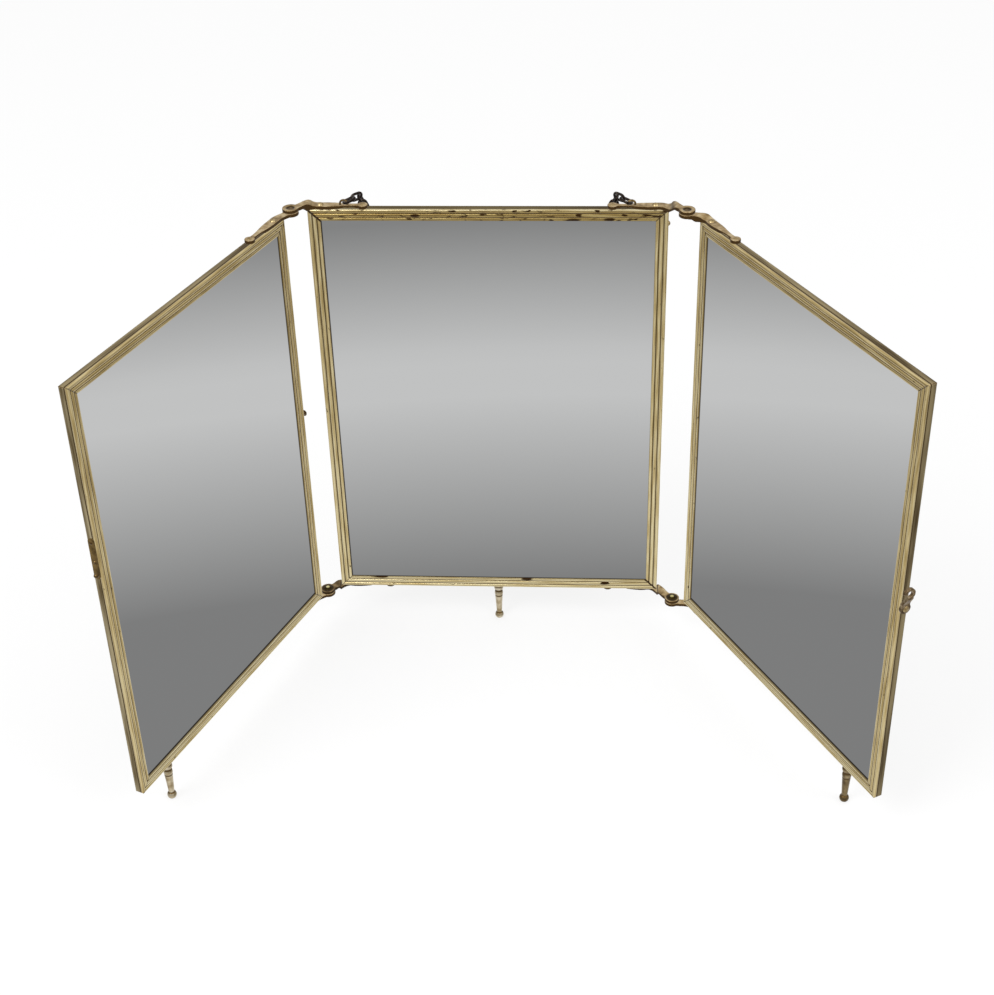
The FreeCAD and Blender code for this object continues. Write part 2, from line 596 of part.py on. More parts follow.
def chain_link():
    """Link about the origin, long way along x and flat in the xy plane."""
    wire = LINK_WIRE / 2
    straight = (LINK_LENGTH - LINK_WIDTH) / 2
    pieces = []
    for end in (-1, 1):
        ring = Part.makeTorus(LINK_BEND, wire, Vector(end * straight, 0, 0), Z_AXIS)
        keep = block(Vector(0, -LINK_WIDTH, -LINK_WIRE), Vector(LINK_LENGTH, LINK_WIDTH, LINK_WIRE))
        keep = moved(keep if end > 0 else flipped(keep, X_AXIS), Vector(end * straight, 0, 0))
        pieces.append(ring.common(keep))
        pieces.append(Part.makeCylinder(wire, 2 * straight, Vector(-straight, end * LINK_BEND, 0), X_AXIS))
    return pieces[0].fuse(pieces[1:]).removeSplitter()


def placed_link(link, middle, along, across):
    """Copy of a link with its long way and its width turned to given directions."""
    normal = along.cross(across)
    copy = link.copy()
    copy.Placement = FreeCAD.Placement(middle, FreeCAD.Rotation(along, normal.cross(along), normal, "XZY"))
    return copy


def end_links(link, hoop_x):
    """Three links from the right hoop over the rail's back edge, and the seat that the bow hangs from."""
    span = LINK_LENGTH - LINK_WIRE
    overlap = LINK_WIRE + LINK_SLACK
    start = Vector(hoop_x, 0, FRAME_TOP + LEAF_THICKNESS + HOOP_SLACK + LINK_WIRE / 2)
    links = []
    for tilt, width in zip(END_LINK_TILTS, END_LINK_WIDTHS):
        along = Vector(*tilt).normalize()
        if links:
            pull = (along - normal * normal.dot(along)).normalize()
            start = bend + pull * LINK_BEND - along * overlap
        across = Vector(*width)
        across = (across - along * along.dot(across)).normalize()
        links.append(placed_link(link, start + along * (span / 2), along, across))
        bend = start + along * (span - LINK_BEND)
        normal = along.cross(across)
    return links, bend + X_AXIS * CHAIN_SEAT_SHIFT


def solve(function, low, high):
    """Root of a falling function by halving."""
    for _ in range(80):
        middle = (low + high) / 2
        if function(middle) > 0:
            low = middle
        else:
            high = middle
    return (low + high) / 2


def hanging_links(link, seat):
    """Links of the chain's free bow: a catenary from the right seat to its mirror image."""
    pitch = LINK_LENGTH - 2 * LINK_WIRE - LINK_SLACK
    half_span = seat.x
    low = half_span / CATENARY_BRACKET
    high = half_span * CATENARY_BRACKET
    sag = solve(lambda a: a * (math.cosh(half_span / a) - 1) - CHAIN_DROP, low, high)
    count = 2 * round((2 * sag * math.sinh(half_span / sag) / pitch - 1) / 2) + 1
    drifts = [0.0] * count
    for index, drift in enumerate((CHAIN_FIRST_DRIFT, CHAIN_SECOND_DRIFT, CHAIN_THIRD_DRIFT)):
        drifts[index] = drift
        drifts[-1 - index] = -drift
    chords = [pitch] * count
    chords[0] = (pitch + LINK_LENGTH - LINK_WIRE) / 2
    chords[-1] = chords[0]
    runs = [math.sqrt(chord ** 2 - drift ** 2) for chord, drift in zip(chords, drifts)]
    length = sum(runs)
    curve = solve(lambda a: 2 * a * math.sinh(half_span / a) - length, low, high)
    top = curve * math.cosh(half_span / curve)

    def joint(index):
        x = curve * math.asinh((length / 2 - sum(runs[:index])) / curve)
        return Vector(x, seat.y + sum(drifts[:index]), seat.z + curve * math.cosh(x / curve) - top)

    links = []
    for index in range(count):
        first = joint(index)
        second = joint(index + 1)
        along = (second - first).normalize()
        across = Y_AXIS - along * along.dot(Y_AXIS)
        if index % 2 == 0:
            across = along.cross(Y_AXIS)
        middle = second - along * (pitch / 2) if index < count / 2 else first + along * (pitch / 2)
        links.append(placed_link(link, middle, along, across.normalize()))
    return links


def hook_outline():
    """Face of the latch hook seen from its own outer side: y to the back, z up, pivot at the origin."""
    outer = HOOK_THROAT_RADIUS + HOOK_LOOP_WIDTH
    depth = HOOK_CRANK + 2 * HOOK_CLEARANCE + HOOK_THICKNESS
    shank_end = HOOK_REACH - HOOK_THROAT_RADIUS
    eye = Part.makeCylinder(HOOK_EYE_RADIUS, depth, ORIGIN, X_AXIS)
    shank = block(Vector(0, -HOOK_SHANK_HALF_WIDTH, 0), Vector(depth, HOOK_SHANK_HALF_WIDTH, shank_end))
    seat = Vector(0, 0, HOOK_REACH)
    ring = Part.makeCylinder(outer, depth, seat, X_AXIS)
    throat = Part.makeCylinder(HOOK_THROAT_RADIUS, depth, seat, X_AXIS)
    wedge = [seat]
    for angle in (HOOK_MOUTH_START, (HOOK_MOUTH_START + HOOK_MOUTH_END) / 2, HOOK_MOUTH_END):
        turn = math.radians(angle)
        wedge.append(seat + Vector(0, -math.sin(turn), math.cos(turn)) * outer * 2)
    mouth = polygon_prism(wedge, X_AXIS * depth)
    return eye.fuse([shank, ring]).cut(throat).cut(mouth)


def latch_hook():
    """Cranked hook about its pivot on the wing's outer edge, which is the plane x = 0."""
    near = HOOK_CLEARANCE
    far = HOOK_CRANK + HOOK_CLEARANCE
    low = -HOOK_EYE_RADIUS * 2
    high = HOOK_REACH * 2
    bend = HOOK_EYE_RADIUS + HOOK_CRANK_LENGTH
    crank = [(near, low), (near + HOOK_THICKNESS, low), (near + HOOK_THICKNESS, HOOK_EYE_RADIUS),
             (far + HOOK_THICKNESS, bend), (far + HOOK_THICKNESS, high), (far, high), (far, bend),
             (near, HOOK_EYE_RADIUS)]
    side = polygon_prism([Vector(x, -high, z) for x, z in crank], Y_AXIS * high * 2)
    bore = Part.makeCylinder(HOOK_PIN_RADIUS + PIN_RUNNING_CLEARANCE, HOOK_THICKNESS * 2, ORIGIN, X_AXIS)
    return hook_outline().common(side).cut(bore)


def on_edge(shape):
    """Turned piece laid over so that its +z axis points out of a wing's edge along +x."""
    return spun(shape, Y_AXIS, 90)


def edge_stud(neck_radius, neck_length, head_radius, head_height):
    """Stud standing on z = 0, riveted through the frame's wall below."""
    neck = Part.makeCylinder(neck_radius, neck_length + SIDE_WALL, Vector(0, 0, -SIDE_WALL))
    head = moved(domed_head(head_radius, head_height), Vector(0, 0, neck_length))
    return neck.fuse(head)


def edge_hole(radius, place):
    """Drill along x through the side wall of a stile, centred on a place on the edge."""
    return Part.makeCylinder(radius, SIDE_WALL * 2, place - X_AXIS * SIDE_WALL, X_AXIS)


def catch_plate():
    """Round-ended plate lying on the plane x = 0, long way up."""
    half = CATCH_WIDTH / 2
    straight = CATCH_LENGTH / 2 - half
    plate = block(Vector(0, -half, -straight), Vector(CATCH_THICKNESS, half, straight))
    ends = [Part.makeCylinder(half, CATCH_THICKNESS, Vector(0, 0, z), X_AXIS) for z in (-straight, straight)]
    return plate.fuse(ends).removeSplitter()


def build_centre(nodes):
    """Centre panel with its four leaves, fasteners, side screw and chain hoops."""
    pieces = panel(2 * CENTRE_HALF, (-1, 1), 0)
    side_place = Vector(CENTRE_HALF, 0, FRAME_TOP - SIDE_SCREW_BELOW_TOP)
    drill = edge_hole(RIVET_RADIUS + FASTENER_CLEARANCE, side_place)
    pieces["right_stile"] = pieces["right_stile"].cut(drill)
    for name, shape in pieces.items():
        nodes["centre_" + name] = shape
    shank = SIDE_WALL + FASTENER_OVERRUN
    side_screw = slotted_screw(RIVET_RADIUS, RIVET_HEAD_RADIUS, SCREW_HEAD_HEIGHT, shank)
    nodes["centre_side_screw"] = moved(on_edge(side_screw), side_place)
    fasteners = []
    for wing in (LEFT, RIGHT):
        reach = abs(wing.pivot_x) - CENTRE_HALF
        for level in ("top", "bottom"):
            leaf = centre_leaf(wing, level)
            nodes["centre_{}_{}_leaf".format(wing.name, level)] = to_centre(at_level(leaf, level), wing)
            for fastener in leaf_fasteners(reach, wing.forward + plate_set_in(level)):
                fasteners.append(to_centre(driven_in(fastener, level), wing))
        hoop_x = wing.side * (CENTRE_HALF - HOOP_INSET)
        nodes["{}_chain_hoop".format(wing.name)] = moved(chain_hoop(), Vector(hoop_x, 0, FRAME_TOP))
    nodes["centre_leaf_fasteners"] = Part.makeCompound(fasteners)


def build_chain(nodes):
    """Chain from hoop to hoop: three links at each end that lie over the rail, and the free bow."""
    link = chain_link()
    right, seat = end_links(link, CENTRE_HALF - HOOP_INSET)
    nodes["right_chain_end_links"] = Part.makeCompound(right)
    nodes["left_chain_end_links"] = Part.makeCompound([flipped(piece, X_AXIS) for piece in right])
    links = hanging_links(link, seat)
    nodes["hanging_chain"] = Part.makeCompound(links)
    lowest = links[len(links) // 2].BoundBox
    print("chain links in the bow:", len(links), "seated at", [round(value, 3) for value in seat])
    print("bottom of the bow:", [round(value, 2) for value in (lowest.YMin, lowest.YMax, lowest.ZMin)])


def build_wing(nodes, wing):
    """One wing with its leaves, pins and fasteners. Returns the shift from panel to flat-open wing."""
    shift = Vector(wing.side * (wing.edge_gap + wing.outer_width / 2), wing.set_back, 0)
    foot_x = wing.side * (wing.outer_width / 2 - wing.foot_inset)
    pieces = panel(wing.outer_width, (-wing.side,), foot_x)
    fasteners = []
    for level in ("top", "bottom"):
        set_back = wing.set_back + plate_set_in(level)
        leaf = hinge_leaf(wing, wing.edge_gap, set_back, eye_rise(wing, level), level, 0.0, PIN_RADIUS)
        parts = [at_level(part, level) for part in (leaf, pivot_pin(wing, level))]
        parts += [driven_in(part, level) for part in leaf_fasteners(wing.edge_gap, set_back)]
        if wing.side < 0:
            parts = [flipped(part, X_AXIS) for part in parts]
        parts = [to_wing(part, wing) for part in parts]
        nodes["{}_wing_{}_leaf".format(wing.name, level)] = parts[0]
        nodes["{}_{}_pivot_pin".format(wing.name, level)] = parts[1]
        fasteners += parts[2:]
    nodes["{}_wing_leaf_fasteners".format(wing.name)] = Part.makeCompound(fasteners)
    return pieces, shift


def finish_wing(nodes, wing, pieces, shift):
    """Puts a wing's panel pieces in place, naming its stiles for the hinge side and the outer side."""
    names = {"left_stile": "outer_stile", "right_stile": "hinge_stile"}
    if wing.side > 0:
        names = {"left_stile": "hinge_stile", "right_stile": "outer_stile"}
    for name, shape in pieces.items():
        nodes["{}_wing_{}".format(wing.name, names.get(name, name))] = to_wing(moved(shape, shift), wing)


def build_left_wing(nodes):
    """Left wing, with the latch stud on its hinge edge and the catch plate on its outer edge."""
    pieces, shift = build_wing(nodes, LEFT)
    half = LEFT.outer_width / 2
    stud_place = Vector(half, 0, SIGHT_BOTTOM + STUD_HEIGHT)
    pieces["right_stile"] = pieces["right_stile"].cut(edge_hole(STUD_NECK_RADIUS, stud_place))
    stud = edge_stud(STUD_NECK_RADIUS, STUD_NECK_LENGTH, STUD_HEAD_RADIUS, STUD_HEAD_HEIGHT)
    nodes["latch_stud"] = to_wing(moved(on_edge(stud), stud_place + shift), LEFT)

    def outer(shape):
        return to_wing(moved(flipped(shape, X_AXIS), shift - X_AXIS * half), LEFT)

    middle = Vector(0, 0, SIGHT_BOTTOM + CATCH_HEIGHT)
    plate = moved(catch_plate(), middle)
    wall = pieces["left_stile"]
    shank = CATCH_THICKNESS + SIDE_WALL + FASTENER_OVERRUN
    screw = on_edge(rivet(RIVET_RADIUS, CATCH_SCREW_HEAD_RADIUS, CATCH_SCREW_HEAD_HEIGHT, shank))
    stud_rise = -CATCH_SCREW_SPACING / 2
    screws = []
    for rise in (stud_rise, -CATCH_MIDDLE_DROP, CATCH_SCREW_SPACING / 2):
        place = middle + Z_AXIS * rise
        start = place - X_AXIS * shank
        drill = Part.makeCylinder(RIVET_RADIUS + FASTENER_CLEARANCE, shank * 2, start, X_AXIS)
        plate = plate.cut(drill)
        wall = wall.cut(moved(flipped(drill, X_AXIS), Vector(-half, 0, 0)))
        if rise != stud_rise:
            screws.append(outer(moved(screw, place + X_AXIS * CATCH_THICKNESS)))
    pieces["left_stile"] = wall
    stem_length = CATCH_STUD_REACH - CATCH_STUD_RADIUS
    knob = moved(domed_head(CATCH_STUD_RADIUS, CATCH_STUD_RADIUS), Vector(0, 0, stem_length))
    stem = Part.makeCylinder(CATCH_STUD_RADIUS, stem_length)
    stud = Part.makeCylinder(RIVET_RADIUS, shank, Vector(0, 0, -shank)).fuse([stem, knob])
    nodes["catch_plate"] = outer(plate)
    nodes["catch_plate_screws"] = Part.makeCompound(screws)
    nodes["catch_stud"] = outer(moved(on_edge(stud), middle + Vector(CATCH_THICKNESS, 0, stud_rise)))
    finish_wing(nodes, LEFT, pieces, shift)


def build_right_wing(nodes):
    """Right wing, with the latch hook and its screw on the outer edge."""
    pieces, shift = build_wing(nodes, RIGHT)
    half = RIGHT.outer_width / 2
    place = Vector(half, 0, SIGHT_BOTTOM + HOOK_HEIGHT)
    pieces["right_stile"] = pieces["right_stile"].cut(edge_hole(HOOK_PIN_RADIUS + FASTENER_CLEARANCE, place))
    grip = HOOK_THICKNESS + 2 * HOOK_CLEARANCE
    shank = grip + SIDE_WALL + FASTENER_OVERRUN
    screw = slotted_screw(HOOK_PIN_RADIUS, HOOK_PIN_HEAD_RADIUS, HOOK_PIN_HEAD_HEIGHT, shank)
    nodes["latch_hook_screw"] = to_wing(moved(on_edge(screw), place + shift + X_AXIS * grip), RIGHT)
    nodes["latch_hook"] = to_wing(moved(latch_hook(), place + shift), RIGHT)
    finish_wing(nodes, RIGHT, pieces, shift)
    pivot = to_wing(Part.Vertex(place + shift), RIGHT).Point
    print("latch hook pivot:", [round(value, 3) for value in pivot])


def main():
    """Builds every piece and writes one file for each."""
    nodes = {}
    build_centre(nodes)
    build_chain(nodes)
    build_left_wing(nodes)
    build_right_wing(nodes)
    os.makedirs("parts", exist_ok=True)
    for name, shape in nodes.items():
        shape.exportStep("parts/{}.step".format(name))
    print(len(nodes), "nodes")


main()
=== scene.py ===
import json
import math

import bmesh
import bpy
from mathutils import Matrix, Vector


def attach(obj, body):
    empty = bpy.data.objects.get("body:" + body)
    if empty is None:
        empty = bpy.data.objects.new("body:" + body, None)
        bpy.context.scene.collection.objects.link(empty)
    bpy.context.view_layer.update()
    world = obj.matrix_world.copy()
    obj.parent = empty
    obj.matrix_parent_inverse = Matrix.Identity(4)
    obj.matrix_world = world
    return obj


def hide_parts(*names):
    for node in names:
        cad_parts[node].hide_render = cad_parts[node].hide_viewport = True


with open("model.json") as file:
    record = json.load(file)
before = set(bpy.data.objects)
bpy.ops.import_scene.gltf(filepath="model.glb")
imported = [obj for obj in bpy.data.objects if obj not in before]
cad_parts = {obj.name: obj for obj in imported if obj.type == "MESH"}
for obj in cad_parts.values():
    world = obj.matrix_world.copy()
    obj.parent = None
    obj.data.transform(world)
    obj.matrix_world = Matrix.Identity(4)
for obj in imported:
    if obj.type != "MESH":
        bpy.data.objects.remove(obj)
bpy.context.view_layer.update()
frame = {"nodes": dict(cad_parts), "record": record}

MM = 0.001

# Reeded moulding, in millimetres, from the glass outwards: two beads, then a round bead that wraps the outer
# corner. Behind that bead a groove runs along the side. Places in depth are in the panel's own y, front to back.
FACE_WIDTH = 9.1
FACE_GROOVES = ((2.36, 2.91), (5.67, 6.22))
SIDE_GROOVE = (-1.42, -0.87)
FRAME_FRONT = -3.75
FRAME_DEPTH = 7.5

# Turned feet: the hollows, painted dark as shade with some dirt, as heights above the ground.
FOOT_HEIGHT = 33.3
FOOT_HOLLOWS = ((5.1, 5.8), (23.0, 23.5), (27.7, 29.4), (32.9, 33.3))
HOLLOW_FADE = 0.7

# The three framed panels: pivot and swing take the model's frame to the panel's own, whose middle is x = 0. The
# glass has a dark line painted as the frame's inner edge reflected, at its bottom edge and at the side edge that
# line names, -1 or 1.
SIGHT_HALF_HEIGHT = 160.8
SIGHT_MIDDLE = 203.184
PANELS = {
    "centre": {"pivot": (0.0, 0.0), "swing": 0.0, "shift": (0.0, 0.0), "outer_width": 259.0,
               "line": -1, "bottom_line": 0.8},
    "left": {"pivot": (-139.8, -11.25), "swing": 67.1, "shift": (-134.7, 3.3), "outer_width": 251.6,
             "line": 1, "bottom_line": 1.8},
    "right": {"pivot": (141.6, -17.25), "swing": -60.1, "shift": (134.05, 9.95), "outer_width": 254.5,
              "line": -1, "bottom_line": 1.8},
}
SIDE_LINE = (0.5, 0.9)
BOTTOM_LINE_FADE = 0.4

# Wear of each bar: tones of its beads from dirty to rubbed, tones of its back edge, and how far the noise has to
# rise before the brass is nicked. The centre panel's top rail is the brownest and has most of the nicks; its back
# edge is painted dark olive as shade.
RUBBED = ("#B59E6A", "#D2BD88", "#E8D9AC")
HANDLED = ("#A58F5D", "#C2AC78", "#DAC99A")
BROWNED = ("#8A7242", "#A68F58", "#C4B078")
SHADED_OLIVE_BACK = ("#4A3C1C", "#74643A")
BROWN_BACK = ("#6A5836", "#C8B994")
DARK_BACK = ("#56462A", "#A4946F")
WEAR = {
    "centre": {"top_rail": (BROWNED, SHADED_OLIVE_BACK, 0.575), "bottom_rail": (RUBBED, BROWN_BACK, 0.72),
               "left_stile": (RUBBED, BROWN_BACK, 0.70), "right_stile": (RUBBED, BROWN_BACK, 0.70)},
    "left": {"top_rail": (HANDLED, DARK_BACK, 0.73), "bottom_rail": (RUBBED, BROWN_BACK, 0.72),
             "hinge_stile": (HANDLED, BROWN_BACK, 0.70), "outer_stile": (HANDLED, BROWN_BACK, 0.70)},
    "right": {"top_rail": (HANDLED, DARK_BACK, 0.73), "bottom_rail": (RUBBED, BROWN_BACK, 0.72),
              "hinge_stile": (RUBBED, BROWN_BACK, 0.69), "outer_stile": (HANDLED, DARK_BACK, 0.69)},
}
# Brown of the grooves and of the frame's edge beside the glass: painted shade with some dirt.
GROOVE_SHADE_AND_DIRT = "#56431F"
BARED_METAL = "#3A2713"

# How far the noise goes on rising from the first trace of a nick to bared metal, how much a place at the top and at
# the bottom of a panel is shifted towards the paler tones, and how dense the painted shade and dirt beside the
# glass is.
NICK_RISE = 0.07
LOWER_PALER_SHIFT = (-0.02, 0.09)
GLASS_SHADE_AND_DIRT_SHARE = 0.85

# Sizes of that wear and shade in millimetres: length and width of the rubbing marks, of the brown stretches on the
# back edge and of the pattern that makes the nicks; the depth over which the nicks end; how far the painted shade
# and dirt fade out of a groove and away from the glass; and how far a closed and an open mitre's seam fade.
RUB_MARKS = (25.0, 1.0)
BROWN_STRETCHES = (60.0, 4.0)
NICK_PATTERN = (7.0, 2.6)
NICKS_END = (-3.1, -2.3)
GROOVE_FADE = 0.25
GLASS_SHADE_AND_DIRT_WIDTH = 0.4
CLOSED_SEAM = (0.15, 0.55)
OPEN_SEAM = (0.8, 1.3)

# Painted highlight: the centre panel's top rail where its round bead turns over the corner towards the light above.
# The highlight tone begins and is full at these places, outwards from the glass.
PAINTED_HIGHLIGHT_CORNERS = {("centre", "top_rail"): ("#B9A778", "#E2D5AE")}
HIGHLIGHT_FROM, HIGHLIGHT_AT = 7.9, 8.6

# Two of the centre panel's mitres have opened: the end of each bar, towards -1 or 1, that has the dark seam.
OPEN_MITRES = {
    ("centre", "top_rail"): -1, ("centre", "left_stile"): 1,
    ("centre", "bottom_rail"): 1, ("centre", "right_stile"): -1,
}

# Chips and stains on the centre panel's rails: place along the bar, place from the glass outwards, half length
# and half width, in millimetres. Raggedness is how much of the nicks' noise goes into their outline.
CHIPS = {
    ("centre", "bottom_rail"): ((23.6, 0.6, 5.5, 1.6), (-97.0, 0.4, 8.0, 0.9), (87.0, 3.8, 4.0, 1.4)),
    ("centre", "top_rail"): ((87.0, 1.2, 4.5, 1.3), (-52.0, 4.2, 4.0, 1.4), (62.0, 1.0, 5.0, 1.2)),
}
CHIP_RAGGEDNESS = 1.2
CHIP_EDGE = (1.3, 1.6)

# Places on a ramp that spread its tones over a noise, whose values crowd round a half.
RUB_STOPS = (0.34, 0.50, 0.66)
TARNISH_STOPS = (0.32, 0.50, 0.66)
PLAIN_STOPS = (0.35, 0.65)
STEEL_STOPS = (0.40, 0.60, 0.74)

# Painted shade lies round each hinge pin, in its dished eye, with old oil and dirt, up to a reach in millimetres,
# and fades over its edge.
PIN_SHADE_AND_DIRT = "#372A18"
CLEAN, NEAR_PIN, OVER_EYE = -1.0, 3.4, 5.1
PIN_SHADE_FADE = (-0.8, 0.4)

# Sand castings: size of the grid in millimetres that rounds their edges, and how often it is smoothed.
CAST_GRID = 0.22
CAST_ROUNDS = 5
CAST_SMOOTHING = 0.5

# Camera, from the photo's perspective: place in metres, turns in radians, lens over a picture 36 mm high.
CAMERA_PLACE = (0.08467, -1.16203, 0.93080)
CAMERA_PITCH, CAMERA_YAW, CAMERA_ROLL = 0.60762724, -0.07203659, 0.03026025
CAMERA_LENS = 64.54
PICTURE_HEIGHT = 36.0
CAMERA_NEAR = 0.01

# Studio, in metres and watts. The room is given as greys by height, from straight down to straight up, once as
# the mirrors see it and once as the worn metal does, and as greys from its front to its back for the metal.
FLOOR_REACH = 6.0
FLOOR_GREY = 0.85
FLOOR_GLOW = 0.75
ROOM_LIGHT = 0.9
MIRRORED_ROOM = ((0.195, 0.225), (0.238, 0.60), (0.248, 0.60), (0.281, 0.25), (0.45, 0.25), (0.60, 0.55),
                 (0.80, 1.0))
TENT_BY_HEIGHT = ((0.10, 1.0), (0.20, 0.95), (0.30, 0.60), (0.42, 0.45), (0.60, 0.60), (0.80, 1.0))
TENT_BY_DEPTH = ((0.10, 1.0), (0.20, 0.97), (0.34, 0.68), (0.60, 0.85), (0.90, 1.0))
LAMPS = {"key": ((-1.1, -1.2, 1.9), 26.0), "fill": ((1.4, -0.9, 1.5), 12.0)}
LAMP_SIZE = 1.2
LAMP_TARGET = Vector((0.0, -0.1, 0.2))


def linear(hexcode):
    """Linear colour of an sRGB hex value."""
    channels = [int(hexcode[i:i + 2], 16) / 255 for i in (1, 3, 5)]
    return [c / 12.92 if c <= 0.04045 else ((c + 0.055) / 1.055) ** 2.4 for c in channels] + [1.0]


def grey(value):
    """Opaque grey of a linear value."""
    return (value, value, value, 1.0)


def shades(places, tones):
    """Ramp stops: each place with its sRGB tone."""
    return [(place, linear(tone)) for place, tone in zip(places, tones)]


def greys(pairs):
    """Ramp stops from pairs of a place and a linear grey."""
    return [(place, grey(value)) for place, value in pairs]


def bands(ranges, fade, span):
    """Ramp stops over a span in millimetres: white in each range, fading to black outside it."""
    pairs = []
    for low, high in ranges:
        pairs += [((low - fade) / span, 0.0), (low / span, 1.0), (high / span, 1.0), ((high + fade) / span, 0.0)]
    return greys(pairs)


def add(tree, kind, sockets=None, stops=None, **settings):
    """Adds one node: its settings, its ramp's stops, and its sockets, each a value or another node's output."""
    made = tree.nodes.new(kind)
    for name, value in settings.items():
        setattr(made, name, value)
    if stops:
        ramp = made.color_ramp
        while len(ramp.elements) < len(stops):
            ramp.elements.new(0.5)
        for element, (position, colour) in zip(ramp.elements, stops):
            element.position = position
            element.color = colour
    for name, value in (sockets or {}).items():
        if isinstance(value, bpy.types.NodeSocket):
            tree.links.new(value, made.inputs[name])
        else:
            made.inputs[name].default_value = value
    return made


def new_material(name):
    """Empty material with its node tree and its surface output."""
    material = bpy.data.materials.new(name)
    material.use_nodes = True
    tree = material.node_tree
    tree.nodes.clear()
    return material, tree, add(tree, "ShaderNodeOutputMaterial")


def panel_place(tree, panel):
    """Position in a panel's own frame, in millimetres, with z from the middle of the glass."""
    angle = math.radians(-panel["swing"])
    px, py = panel["pivot"]
    x = -(math.cos(angle) * px - math.sin(angle) * py) - panel["shift"][0]
    y = -(math.sin(angle) * px + math.cos(angle) * py) - panel["shift"][1]
    coords = add(tree, "ShaderNodeTexCoord")
    place = add(tree, "ShaderNodeMapping", {
        "Vector": coords.outputs["Object"],
        "Location": (x, y, -SIGHT_MIDDLE),
        "Rotation": (0.0, 0.0, angle),
        "Scale": (1 / MM, 1 / MM, 1 / MM)})
    return add(tree, "ShaderNodeSeparateXYZ", {0: place.outputs[0]})


def bar_run(panel, bar):
    """How a bar runs: the axes along and across it, and half the size of the visible glass on each."""
    sight_half_width = panel["outer_width"] / 2 - FACE_WIDTH
    if bar.endswith("stile"):
        return "Z", "X", SIGHT_HALF_HEIGHT, sight_half_width
    return "X", "Z", sight_half_width, SIGHT_HALF_HEIGHT


def stretched(tree, place, along, across, marks):
    """Position for a pattern drawn out along a bar: its marks are so many millimetres long and wide."""
    length, width = marks
    made = add(tree, "ShaderNodeCombineXYZ")
    for socket, source, size in (("X", along, length), ("Y", across, width), ("Z", "Y", width)):
        scaled = add(tree, "ShaderNodeMath", {0: place.outputs[source], 1: size}, operation="DIVIDE")
        tree.links.new(scaled.outputs[0], made.inputs[socket])
    return made.outputs[0]


def bar_marks(tree, side, bar, place, sideways, spots):
    """Dark marks on a bar, from 0 to 1: nicks in its front, a seam down each mitre, and its own chips."""
    along, _, half_length, half_width = bar_run(PANELS[side], bar)
    nicked_from = WEAR[side][bar][2]
    front = add(tree, "ShaderNodeMapRange", {
        0: place.outputs["Y"], 1: NICKS_END[0], 2: NICKS_END[1], 3: 1.0, 4: 0.0})
    nicks = add(tree, "ShaderNodeMapRange", {
        0: spots.outputs["Fac"], 1: nicked_from, 2: nicked_from + NICK_RISE, 4: front.outputs[0]})

    endways = add(tree, "ShaderNodeMath", {0: place.outputs[along]}, operation="ABSOLUTE")
    past_end = add(tree, "ShaderNodeMath", {
        0: endways.outputs[0], 1: half_length - half_width}, operation="SUBTRACT")
    off_mitre = add(tree, "ShaderNodeMath", {
        0: sideways.outputs[0], 1: past_end.outputs[0]}, operation="SUBTRACT")
    seam = add(tree, "ShaderNodeMapRange", {
        0: off_mitre.outputs[0], 1: CLOSED_SEAM[0], 2: CLOSED_SEAM[1], 3: 1.0, 4: 0.0})
    layers = [nicks, seam]
    if (side, bar) in OPEN_MITRES:
        towards = add(tree, "ShaderNodeMath", {
            0: place.outputs[along], 1: OPEN_MITRES[side, bar]}, operation="MULTIPLY")
        that_end = add(tree, "ShaderNodeMath", {0: towards.outputs[0], 1: 0.0}, operation="GREATER_THAN")
        wide_seam = add(tree, "ShaderNodeMapRange", {
            0: off_mitre.outputs[0], 1: OPEN_SEAM[0], 2: OPEN_SEAM[1], 3: 1.0, 4: 0.0})
        layers.append(add(tree, "ShaderNodeMath", {
            0: wide_seam.outputs[0], 1: that_end.outputs[0]}, operation="MULTIPLY"))

    flat = add(tree, "ShaderNodeCombineXYZ", {"X": place.outputs[along], "Y": sideways.outputs[0]})
    for length_place, width_place, chip_half_length, chip_half_width in CHIPS.get((side, bar), ()):
        around = add(tree, "ShaderNodeMapping", {
            "Vector": flat.outputs[0], "Location": (length_place, half_width + width_place, 0.0),
            "Scale": (chip_half_length, chip_half_width, 1.0)}, vector_type="TEXTURE")
        away = add(tree, "ShaderNodeVectorMath", {0: around.outputs[0]}, operation="LENGTH")
        ragged = add(tree, "ShaderNodeMath", {
            0: spots.outputs["Fac"], 1: CHIP_RAGGEDNESS, 2: away.outputs["Value"]}, operation="MULTIPLY_ADD")
        layers.append(add(tree, "ShaderNodeMapRange", {
            0: ragged.outputs[0], 1: CHIP_EDGE[0], 2: CHIP_EDGE[1], 3: 1.0, 4: 0.0}))

    marks = layers[0]
    for layer in layers[1:]:
        marks = add(tree, "ShaderNodeMath", {0: marks.outputs[0], 1: layer.outputs[0]}, operation="MAXIMUM")
    return marks


